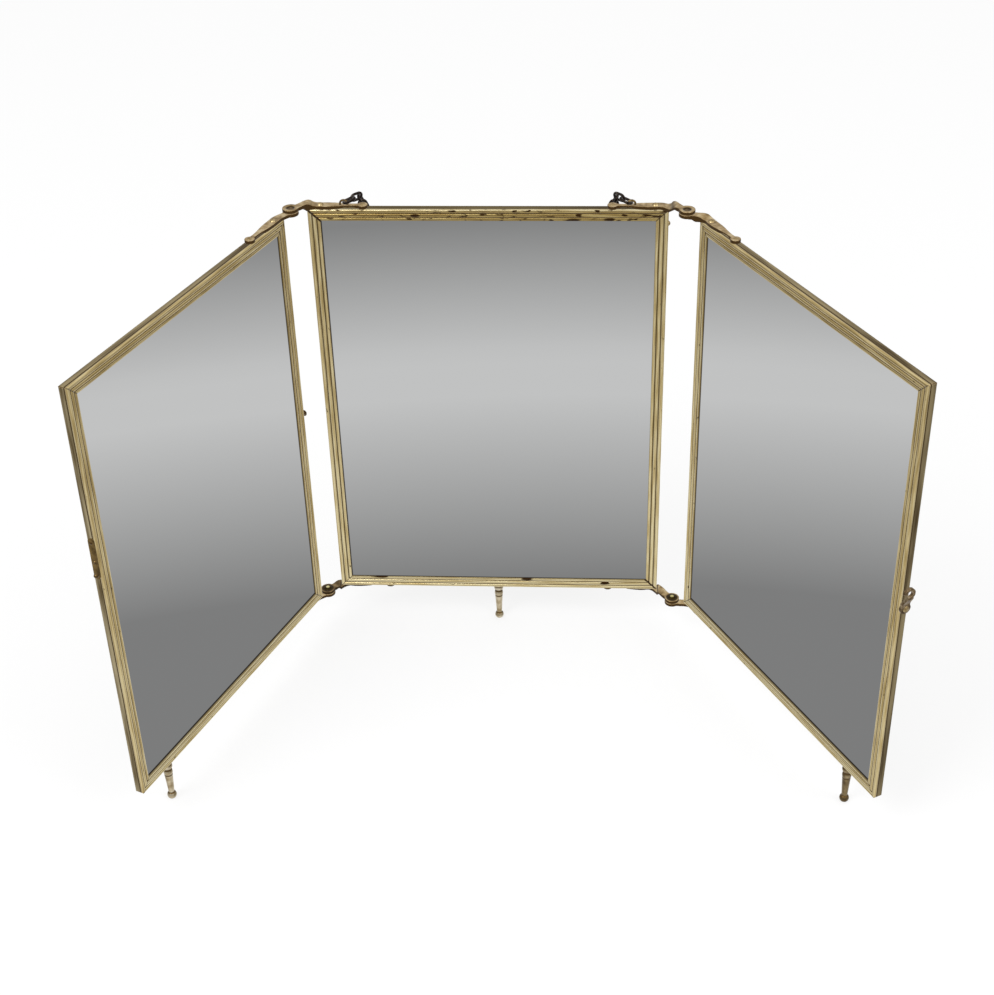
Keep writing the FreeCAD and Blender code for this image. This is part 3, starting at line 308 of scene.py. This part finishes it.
def aged_brass_moulding(side, bar):
    """Drawn brass moulding, long since tarnished: beads rubbed pale, dark seams in the mitres, brown painted shade
    and dirt in the grooves and beside the glass, and on the centre top rail a painted highlight and back edge
    shade.
    """
    panel = PANELS[side]
    tones, back_tones, _ = WEAR[side][bar]
    along, across, _, limit = bar_run(panel, bar)
    material, tree, surface = new_material("Aged brass moulding, {} {}".format(side, bar))
    place = panel_place(tree, panel)
    sideways = add(tree, "ShaderNodeMath", {0: place.outputs[across]}, operation="ABSOLUTE")
    face_share = add(tree, "ShaderNodeMapRange", {0: sideways.outputs[0], 1: limit, 2: limit + FACE_WIDTH})
    depth_share = add(tree, "ShaderNodeMapRange", {
        0: place.outputs["Y"], 1: FRAME_FRONT, 2: FRAME_FRONT + FRAME_DEPTH})

    # Rubbing marks drawn out along the bar, about 25 mm long and 1 mm wide. The lower a place is, the paler it is.
    streaks = add(tree, "ShaderNodeTexNoise", {
        "Vector": stretched(tree, place, along, across, RUB_MARKS), "Scale": 1.0, "Detail": 3.0})
    paler_below = add(tree, "ShaderNodeMapRange", {
        0: place.outputs["Z"], 1: SIGHT_HALF_HEIGHT, 2: -SIGHT_HALF_HEIGHT, 3: LOWER_PALER_SHIFT[0], 4: LOWER_PALER_SHIFT[1]})
    pale_share = add(tree, "ShaderNodeMath", {0: streaks.outputs["Fac"], 1: paler_below.outputs[0]}, operation="ADD")
    tone = add(tree, "ShaderNodeValToRGB", {0: pale_share.outputs[0]}, stops=shades(RUB_STOPS, tones))
    beads = tone.outputs[0]
    # Painted highlight where the centre top rail's round bead turns over towards the light above.
    if (side, bar) in PAINTED_HIGHLIGHT_CORNERS:
        corner = add(tree, "ShaderNodeMapRange", {
            0: sideways.outputs[0], 1: limit + HIGHLIGHT_FROM, 2: limit + HIGHLIGHT_AT})
        bright = add(tree, "ShaderNodeValToRGB", {0: pale_share.outputs[0]}, stops=shades(
            (RUB_STOPS[0], RUB_STOPS[2]), PAINTED_HIGHLIGHT_CORNERS[side, bar]))
        beads = add(tree, "ShaderNodeMix", {
            0: corner.outputs[0], 6: tone.outputs[0], 7: bright.outputs[0]}, data_type="RGBA").outputs[2]

    # The edge behind the side groove was rubbed less: duller than the beads, in brown stretches about 60 mm long.
    # On the centre panel's top rail it is painted dark olive instead, as shade where it rounds away from the light.
    behind = add(tree, "ShaderNodeMapRange", {0: place.outputs["Y"], 1: SIDE_GROOVE[0], 2: SIDE_GROOVE[1]})
    dull = add(tree, "ShaderNodeTexNoise", {
        "Vector": stretched(tree, place, along, across, BROWN_STRETCHES), "Scale": 1.0, "Detail": 4.0})
    back_tone = add(tree, "ShaderNodeValToRGB", {0: dull.outputs["Fac"]}, stops=shades(PLAIN_STOPS, back_tones))
    sided = add(tree, "ShaderNodeMix", {
        0: behind.outputs[0], 6: beads, 7: back_tone.outputs[0]}, data_type="RGBA")

    # Painted shade and dirt lie along the glass and in the grooves of the face and the side, and fade over a
    # quarter millimetre.
    face_shade_and_dirt = add(tree, "ShaderNodeValToRGB", {0: face_share.outputs[0]}, stops=greys(
        [(0.0, GLASS_SHADE_AND_DIRT_SHARE), (GLASS_SHADE_AND_DIRT_WIDTH / FACE_WIDTH, 0.0)]) + bands(FACE_GROOVES, GROOVE_FADE, FACE_WIDTH))
    side_shade_and_dirt = add(tree, "ShaderNodeValToRGB", {0: depth_share.outputs[0]}, stops=bands(
        [[edge - FRAME_FRONT for edge in SIDE_GROOVE]], GROOVE_FADE, FRAME_DEPTH))
    shade_and_dirt = add(tree, "ShaderNodeMath", {0: face_shade_and_dirt.outputs[0], 1: side_shade_and_dirt.outputs[0]}, operation="MAXIMUM")
    shaded_and_grimed = add(tree, "ShaderNodeMix", {
        0: shade_and_dirt.outputs[0], 6: sided.outputs[2], 7: linear(GROOVE_SHADE_AND_DIRT)}, data_type="RGBA")

    # Where the surface is nicked or chipped, about 5 mm long and 2 mm wide, dark metal shows.
    spots = add(tree, "ShaderNodeTexNoise", {
        "Vector": stretched(tree, place, along, across, NICK_PATTERN), "Scale": 1.0, "Detail": 2.0})
    marks = bar_marks(tree, side, bar, place, sideways, spots)
    marked = add(tree, "ShaderNodeMix", {
        0: marks.outputs[0], 6: shaded_and_grimed.outputs[2], 7: linear(BARED_METAL)}, data_type="RGBA")

    # Smooth where it was rubbed, rougher under the painted shade and dirt and on the back edge.
    rougher_share = add(tree, "ShaderNodeMath", {0: shade_and_dirt.outputs[0], 1: behind.outputs[0]}, operation="MAXIMUM")
    rough = add(tree, "ShaderNodeMapRange", {0: rougher_share.outputs[0], 3: 0.26, 4: 0.46})
    relief = add(tree, "ShaderNodeMath", {0: streaks.outputs["Fac"], 1: marks.outputs[0]}, operation="SUBTRACT")
    bump = add(tree, "ShaderNodeBump", {"Strength": 0.3, "Distance": 0.12 * MM, "Height": relief.outputs[0]})
    metal = add(tree, "ShaderNodeBsdfPrincipled", {
        "Base Color": marked.outputs[2], "Metallic": 1.0, "Roughness": rough.outputs[0],
        "Normal": bump.outputs[0]})
    tree.links.new(metal.outputs[0], surface.inputs[0])
    return material


def turned_foot_brass(name, tones):
    """Brass turned on a lathe: tapers and ball rubbed pale, dark rings painted in the hollows as shade with some
    dirt.
    """
    material, tree, surface = new_material(name)
    coords = add(tree, "ShaderNodeTexCoord")
    place = add(tree, "ShaderNodeSeparateXYZ", {0: coords.outputs["Object"]})
    height = add(tree, "ShaderNodeMapRange", {0: place.outputs["Z"], 1: 0.0, 2: FOOT_HEIGHT * MM})
    # Tarnish in patches about 6 mm across.
    patches = add(tree, "ShaderNodeTexNoise", {
        "Vector": coords.outputs["Object"], "Scale": 1 / (6.0 * MM), "Detail": 4.0})
    tone = add(tree, "ShaderNodeValToRGB", {0: patches.outputs["Fac"]}, stops=shades(RUB_STOPS, tones))
    # Painted shade with some dirt: dark rings in the hollows.
    hollows = add(tree, "ShaderNodeValToRGB", {0: height.outputs[0]}, stops=bands(
        FOOT_HOLLOWS, HOLLOW_FADE, FOOT_HEIGHT))
    shaded_and_grimed = add(tree, "ShaderNodeMix", {
        0: hollows.outputs[0], 6: tone.outputs[0], 7: linear("#614C2C")}, data_type="RGBA")
    rough = add(tree, "ShaderNodeMapRange", {0: hollows.outputs[0], 3: 0.28, 4: 0.5})
    metal = add(tree, "ShaderNodeBsdfPrincipled", {
        "Base Color": shaded_and_grimed.outputs[2], "Metallic": 1.0, "Roughness": rough.outputs[0]})
    tree.links.new(metal.outputs[0], surface.inputs[0])
    return material


def simple_brass(name, tones, grain, roughness):
    """Brass without a moulding: tarnish in patches of a given size in millimetres, paler where it is smooth."""
    material, tree, surface = new_material(name)
    coords = add(tree, "ShaderNodeTexCoord")
    patches = add(tree, "ShaderNodeTexNoise", {
        "Vector": coords.outputs["Object"], "Scale": 1 / (grain * MM), "Detail": 4.0})
    tone = add(tree, "ShaderNodeValToRGB", {0: patches.outputs["Fac"]}, stops=shades(TARNISH_STOPS, tones))
    rough = add(tree, "ShaderNodeMapRange", {
        0: patches.outputs["Fac"], 3: roughness + 0.12, 4: roughness - 0.08})
    bump = add(tree, "ShaderNodeBump", {
        "Strength": 0.3, "Distance": 0.2 * MM, "Height": patches.outputs["Fac"]})
    metal = add(tree, "ShaderNodeBsdfPrincipled", {
        "Base Color": tone.outputs[0], "Metallic": 1.0, "Roughness": rough.outputs[0],
        "Normal": bump.outputs[0]})
    tree.links.new(metal.outputs[0], surface.inputs[0])
    return material


def top_lit_and_rubbed_brass(name, tones, side_shade, lit_facing_up, pin_shade_reach):
    """Brass painted pale where it faces up and brown on its sides, top light and side shade over some rubbing, with
    painted shade, oil and dirt round the hinge pins.
    """
    material, tree, surface = new_material(name)
    coords = add(tree, "ShaderNodeTexCoord")
    # Tarnish in patches about 5 mm across, over a casting skin of about half a millimetre.
    patches = add(tree, "ShaderNodeTexNoise", {
        "Vector": coords.outputs["Object"], "Scale": 1 / (5.0 * MM), "Detail": 4.0})
    skin = add(tree, "ShaderNodeTexNoise", {
        "Vector": coords.outputs["Object"], "Scale": 1 / (0.5 * MM), "Detail": 2.0})
    tone = add(tree, "ShaderNodeValToRGB", {0: patches.outputs["Fac"]}, stops=shades(TARNISH_STOPS, tones))
    facing = add(tree, "ShaderNodeNewGeometry")
    upright = add(tree, "ShaderNodeSeparateXYZ", {0: facing.outputs["Normal"]})
    # Painted top light and side shade: the tone where the surface faces up, the side tone where it faces sideways.
    pale_share = add(tree, "ShaderNodeMapRange", {0: upright.outputs["Z"], 1: lit_facing_up[0], 2: lit_facing_up[1]})
    lit_and_shaded = add(tree, "ShaderNodeMix", {
        0: pale_share.outputs[0], 6: linear(side_shade), 7: tone.outputs[0]}, data_type="RGBA")

    # How far a place is from the nearer pin's axis.
    flat = add(tree, "ShaderNodeVectorMath", {
        0: coords.outputs["Object"], 1: (1.0, 1.0, 0.0)}, operation="MULTIPLY")
    away = []
    for side in ("left", "right"):
        px, py = PANELS[side]["pivot"]
        away.append(add(tree, "ShaderNodeVectorMath", {
            0: flat.outputs[0], 1: (px * MM, py * MM, 0.0)}, operation="DISTANCE").outputs["Value"])
    nearest = add(tree, "ShaderNodeMath", {0: away[0], 1: away[1]}, operation="MINIMUM")
    # Painted shade round the nearer pin, where its eye is dished, with old oil and dirt.
    pin_shade = add(tree, "ShaderNodeMapRange", {
        0: nearest.outputs[0], 1: (pin_shade_reach + PIN_SHADE_FADE[0]) * MM, 2: (pin_shade_reach + PIN_SHADE_FADE[1]) * MM,
        3: 1.0, 4: 0.0})
    pin_shaded = add(tree, "ShaderNodeMix", {
        0: pin_shade.outputs[0], 6: lit_and_shaded.outputs[2], 7: linear(PIN_SHADE_AND_DIRT)}, data_type="RGBA")
    rough = add(tree, "ShaderNodeMapRange", {0: pale_share.outputs[0], 3: 0.5, 4: 0.34})
    bump = add(tree, "ShaderNodeBump", {"Strength": 0.3, "Distance": 0.08 * MM, "Height": skin.outputs["Fac"]})
    metal = add(tree, "ShaderNodeBsdfPrincipled", {
        "Base Color": pin_shaded.outputs[2], "Metallic": 1.0, "Roughness": rough.outputs[0],
        "Normal": bump.outputs[0]})
    tree.links.new(metal.outputs[0], surface.inputs[0])
    return material


def silvered_glass(side):
    """Plate glass silvered behind: a clean reflection, with a dark line painted at two edges as the frame's edge
    reflected.
    """
    panel = PANELS[side]
    material, tree, surface = new_material("Silvered mirror glass, {}".format(side))
    place = panel_place(tree, panel)
    sight_half_width = panel["outer_width"] / 2 - FACE_WIDTH
    inside = add(tree, "ShaderNodeMath", {
        0: place.outputs["X"], 1: -panel["line"], 2: sight_half_width}, operation="MULTIPLY_ADD")
    above = add(tree, "ShaderNodeMath", {0: place.outputs["Z"], 1: SIGHT_HALF_HEIGHT}, operation="ADD")
    side_edge = add(tree, "ShaderNodeMapRange", {
        0: inside.outputs[0], 1: SIDE_LINE[0], 2: SIDE_LINE[1], 3: 1.0, 4: 0.0})
    low_edge = add(tree, "ShaderNodeMapRange", {
        0: above.outputs[0], 1: panel["bottom_line"] - BOTTOM_LINE_FADE, 2: panel["bottom_line"],
        3: 1.0, 4: 0.0})
    edge = add(tree, "ShaderNodeMath", {0: side_edge.outputs[0], 1: low_edge.outputs[0]}, operation="MAXIMUM")
    # Painted reflection of the frame's inner edge: a dark line at one side edge and at the bottom edge.
    shade = add(tree, "ShaderNodeMix", {
        0: edge.outputs[0], 6: linear("#F2F3F3"), 7: linear("#4A4034")}, data_type="RGBA")
    metal = add(tree, "ShaderNodeBsdfPrincipled", {
        "Base Color": shade.outputs[2], "Metallic": 1.0, "Roughness": 0.0})
    tree.links.new(metal.outputs[0], surface.inputs[0])
    return material


def covered_board():
    """Strawboard under dark paper with a grain of about 1.5 mm: matt and nearly black."""
    material, tree, surface = new_material("Dark paper-covered strawboard")
    coords = add(tree, "ShaderNodeTexCoord")
    grain = add(tree, "ShaderNodeTexNoise", {
        "Vector": coords.outputs["Object"], "Scale": 1 / (1.5 * MM), "Detail": 3.0})
    tone = add(tree, "ShaderNodeValToRGB", {0: grain.outputs["Fac"]}, stops=shades(
        PLAIN_STOPS, ("#2B211A", "#45382D")))
    bump = add(tree, "ShaderNodeBump", {"Strength": 0.5, "Distance": 0.2 * MM, "Height": grain.outputs["Fac"]})
    paper = add(tree, "ShaderNodeBsdfPrincipled", {
        "Base Color": tone.outputs[0], "Roughness": 0.75, "Normal": bump.outputs[0]})
    tree.links.new(paper.outputs[0], surface.inputs[0])
    return material


def tarnished_steel():
    """Steel wire gone brown-black, rubbed to grey in patches about 3 mm across."""
    material, tree, surface = new_material("Tarnished steel wire")
    coords = add(tree, "ShaderNodeTexCoord")
    patches = add(tree, "ShaderNodeTexNoise", {
        "Vector": coords.outputs["Object"], "Scale": 1 / (3.0 * MM), "Detail": 3.0})
    tone = add(tree, "ShaderNodeValToRGB", {0: patches.outputs["Fac"]}, stops=shades(
        STEEL_STOPS, ("#1A1411", "#332B26", "#6B625A")))
    metal = add(tree, "ShaderNodeBsdfPrincipled", {
        "Base Color": tone.outputs[0], "Metallic": 1.0, "Roughness": 0.38})
    tree.links.new(metal.outputs[0], surface.inputs[0])
    return material


def soft_casting(node, body):
    """Copy of a cast node with the rounded edges that a sand casting has, in place of the node."""
    source = frame["nodes"][node]
    mesh = source.data.copy()
    shape = bmesh.new()
    shape.from_mesh(mesh)
    bmesh.ops.remove_doubles(shape, verts=shape.verts, dist=0.001 * MM)
    shape.to_mesh(mesh)
    shape.free()
    piece = bpy.data.objects.new("cast_" + node, mesh)
    bpy.context.scene.collection.objects.link(piece)
    remesh = piece.modifiers.new("remesh", "REMESH")
    remesh.mode = "VOXEL"
    remesh.voxel_size = CAST_GRID * MM
    smooth = piece.modifiers.new("smooth", "SMOOTH")
    smooth.factor = CAST_SMOOTHING
    smooth.iterations = CAST_ROUNDS
    bpy.context.view_layer.update()
    baked = bpy.data.meshes.new_from_object(piece.evaluated_get(bpy.context.evaluated_depsgraph_get()))
    piece.modifiers.clear()
    piece.data = baked
    for polygon in baked.polygons:
        polygon.use_smooth = True
    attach(piece, body)
    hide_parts(node)
    return piece


def dress(piece, material):
    """Gives a piece one material, and hides it from the glasses: in the photo they show no other panel."""
    piece.data.materials.clear()
    piece.data.materials.append(material)
    piece.visible_glossy = False


def studio_floor():
    """Pale floor that takes the object's shadow and is left out of reflections."""
    mesh = bpy.data.meshes.new("floor")
    corners = [(x * FLOOR_REACH, y * FLOOR_REACH, 0.0) for x, y in ((-1, -1), (1, -1), (1, 1), (-1, 1))]
    mesh.from_pydata(corners, [], [(0, 1, 2, 3)])
    floor = bpy.data.objects.new("floor", mesh)
    bpy.context.scene.collection.objects.link(floor)
    material, tree, surface = new_material("Pale studio floor")
    ray = add(tree, "ShaderNodeLightPath")
    paint = add(tree, "ShaderNodeBsdfDiffuse", {"Color": grey(FLOOR_GREY)})
    glow = add(tree, "ShaderNodeEmission", {"Color": grey(1.0), "Strength": 1.0})
    share = add(tree, "ShaderNodeMath", {0: ray.outputs["Is Camera Ray"], 1: FLOOR_GLOW}, operation="MULTIPLY")
    mixed = add(tree, "ShaderNodeMixShader", {0: share.outputs[0], 1: paint.outputs[0], 2: glow.outputs[0]})
    tree.links.new(mixed.outputs[0], surface.inputs[0])
    dress(floor, material)


def studio_room():
    """White background; mirrors see the grey gradient of the photo's glasses, worn metal a bright tent."""
    world = bpy.data.worlds.new("studio")
    bpy.context.scene.world = world
    world.use_nodes = True
    tree = world.node_tree
    tree.nodes.clear()
    ray = add(tree, "ShaderNodeLightPath")
    coords = add(tree, "ShaderNodeTexCoord")
    way = add(tree, "ShaderNodeSeparateXYZ", {0: coords.outputs["Generated"]})
    height = add(tree, "ShaderNodeMapRange", {0: way.outputs["Z"], 1: -1.0, 2: 1.0})
    ahead = add(tree, "ShaderNodeMapRange", {0: way.outputs["Y"], 1: -1.0, 2: 1.0})
    grey_room = add(tree, "ShaderNodeValToRGB", {0: height.outputs[0]}, stops=greys(MIRRORED_ROOM))
    tent = add(tree, "ShaderNodeValToRGB", {0: height.outputs[0]}, stops=greys(TENT_BY_HEIGHT))
    front = add(tree, "ShaderNodeValToRGB", {0: ahead.outputs[0]}, stops=greys(TENT_BY_DEPTH))
    bright_room = add(tree, "ShaderNodeMix", {
        0: 1.0, 6: tent.outputs[0], 7: front.outputs[0]}, data_type="RGBA", blend_type="MULTIPLY")
    reflected = add(tree, "ShaderNodeMix", {
        0: ray.outputs["Is Singular Ray"], 6: bright_room.outputs[2], 7: grey_room.outputs[0]}, data_type="RGBA")
    room = add(tree, "ShaderNodeMix", {
        0: ray.outputs["Is Glossy Ray"], 6: grey(ROOM_LIGHT), 7: reflected.outputs[2]}, data_type="RGBA")
    seen = add(tree, "ShaderNodeMath", {
        0: ray.outputs["Is Camera Ray"], 1: ray.outputs["Is Transmission Ray"]}, operation="MAXIMUM")
    colour = add(tree, "ShaderNodeMix", {
        0: seen.outputs[0], 6: room.outputs[2], 7: grey(1.0)}, data_type="RGBA")
    light = add(tree, "ShaderNodeBackground", {"Color": colour.outputs[2], "Strength": 1.0})
    add(tree, "ShaderNodeOutputWorld", {0: light.outputs[0]})


def studio_lamps():
    """Two soft lamps, the stronger from the left."""
    for name, (place, watts) in LAMPS.items():
        lamp = bpy.data.lights.new(name, "AREA")
        lamp.size = LAMP_SIZE
        lamp.energy = watts
        holder = bpy.data.objects.new(name, lamp)
        holder.location = place
        aim = LAMP_TARGET - holder.location
        holder.rotation_euler = aim.to_track_quat("-Z", "Y").to_euler()
        bpy.context.scene.collection.objects.link(holder)


def photo_camera():
    """Camera where the photograph was taken from, in front of the mirror and above it."""
    level = math.cos(CAMERA_PITCH)
    ahead = Vector((math.sin(CAMERA_YAW) * level, math.cos(CAMERA_YAW) * level, -math.sin(CAMERA_PITCH)))
    right = Vector((math.cos(CAMERA_YAW), -math.sin(CAMERA_YAW), 0.0))
    down = ahead.cross(right)
    tilted_right = right * math.cos(CAMERA_ROLL) + down * math.sin(CAMERA_ROLL)
    tilted_down = down * math.cos(CAMERA_ROLL) - right * math.sin(CAMERA_ROLL)
    turn = Matrix((tilted_right, -tilted_down, -ahead)).transposed()
    lens = bpy.data.cameras.new("photo camera")
    lens.sensor_fit = "VERTICAL"
    lens.sensor_height = PICTURE_HEIGHT
    lens.lens = CAMERA_LENS
    lens.clip_start = CAMERA_NEAR
    camera = bpy.data.objects.new("photo camera", lens)
    camera.matrix_world = Matrix.Translation(CAMERA_PLACE) @ turn.to_4x4()
    bpy.context.scene.collection.objects.link(camera)
    bpy.context.scene.camera = camera


photo_camera()
studio_floor()
studio_room()
studio_lamps()

# Castings: tan facing up and brown on the sides, painted light and shade over some rubbing. Two bottom leaves have
# painted shade and oil over the whole eye, and one of them is brown all over. The hook is brown with paler spots.
TAN = ("#846D48", "#B0976C", "#CDB991")
LIT_FACING_UP = (0.20, 0.92)
cast = top_lit_and_rubbed_brass("Cast brass, tan, painted light on top", TAN, "#553F23", LIT_FACING_UP, NEAR_PIN)
eye_shaded_cast = top_lit_and_rubbed_brass("Cast brass, shade and oil painted over the eye", TAN, "#553F23", LIT_FACING_UP, OVER_EYE)
brown_eye_shaded_cast = top_lit_and_rubbed_brass(
    "Cast brass, dark brown, shade and oil painted over the eye", ("#5A4930", "#806A48", "#A8936F"), "#453520", LIT_FACING_UP, OVER_EYE)
hook = simple_brass("Cast brass, handled", ("#4C3C28", "#786449", "#A89678"), 3.0, 0.36)

# Small fittings: plates dull, screws a little paler, top pins and studs nearly black, and hoops brown. The bottom
# pins are painted dark with a glint on top, as shade and a highlight, and the painted shade and dirt round them is
# on the leaves and not on them.
GLINT_FACING_UP = (0.92, 0.985)
plate = simple_brass("Rolled brass plate, dull", ("#5E4A28", "#80683C", "#9A8250"), 5.0, 0.45)
dull = simple_brass("Turned screw brass, dull", ("#86714A", "#A69066", "#C2AF84"), 4.0, 0.38)
# On the top pins this near black is painted shade in the dished eye.
dark = simple_brass("Turned brass, near black", ("#3F3019", "#59452A", "#7B6540"), 4.0, 0.4)
glinting_pin = top_lit_and_rubbed_brass(
    "Turned brass, dark with a painted glint", ("#B3A468", "#D6C98C", "#EFE6B4"), "#33280F", GLINT_FACING_UP, CLEAN)
wire = simple_brass("Drawn brass wire, tarnished", ("#4E3E26", "#705C3A", "#927E54"), 4.0, 0.4)

# Feet: pale brass with dark rings, but the right wing's foot is painted darker all over as shade.
foot = turned_foot_brass("Turned brass foot", ("#A3906E", "#C6B798", "#DDD1B8"))
shaded_foot = turned_foot_brass("Turned brass foot, painted shade", ("#635238", "#857352", "#A89674"))
steel = tarnished_steel()
board = covered_board()

# Each node takes the material of the last ending here that its name has.
by_ending = {"_board": board, "_plates": plate, "catch_plate": plate, "_foot": foot,
             "right_wing_foot": shaded_foot, "_fasteners": dull, "side_screw": dull, "hook_screw": dull,
             "_top_pivot_pin": dark, "_bottom_pivot_pin": glinting_pin, "plate_screws": dark, "_stud": dark,
             "_hoop": wire, "_links": steel, "_chain": steel}
for side in PANELS:
    prefix = "centre_" if side == "centre" else side + "_wing_"
    for bar in WEAR[side]:
        by_ending[prefix + bar] = aged_brass_moulding(side, bar)
    by_ending[prefix + "mirror_glass"] = silvered_glass(side)
for name, piece in frame["nodes"].items():
    for ending, material in by_ending.items():
        if name.endswith(ending):
            dress(piece, material)

cast_tones = {"latch_hook": hook, "centre_left_bottom_leaf": brown_eye_shaded_cast, "centre_right_bottom_leaf": eye_shaded_cast}
slots = {entry["node"]: entry["material_slot"] for entry in frame["record"]["subparts"]}
for body, members in frame["record"]["behaviour"]["bodies"].items():
    for name in members:
        if slots[name] == "cast_brass":
            dress(soft_casting(name, body), cast_tones.get(name, cast))

bpy.context.scene.view_settings.view_transform = "Standard"
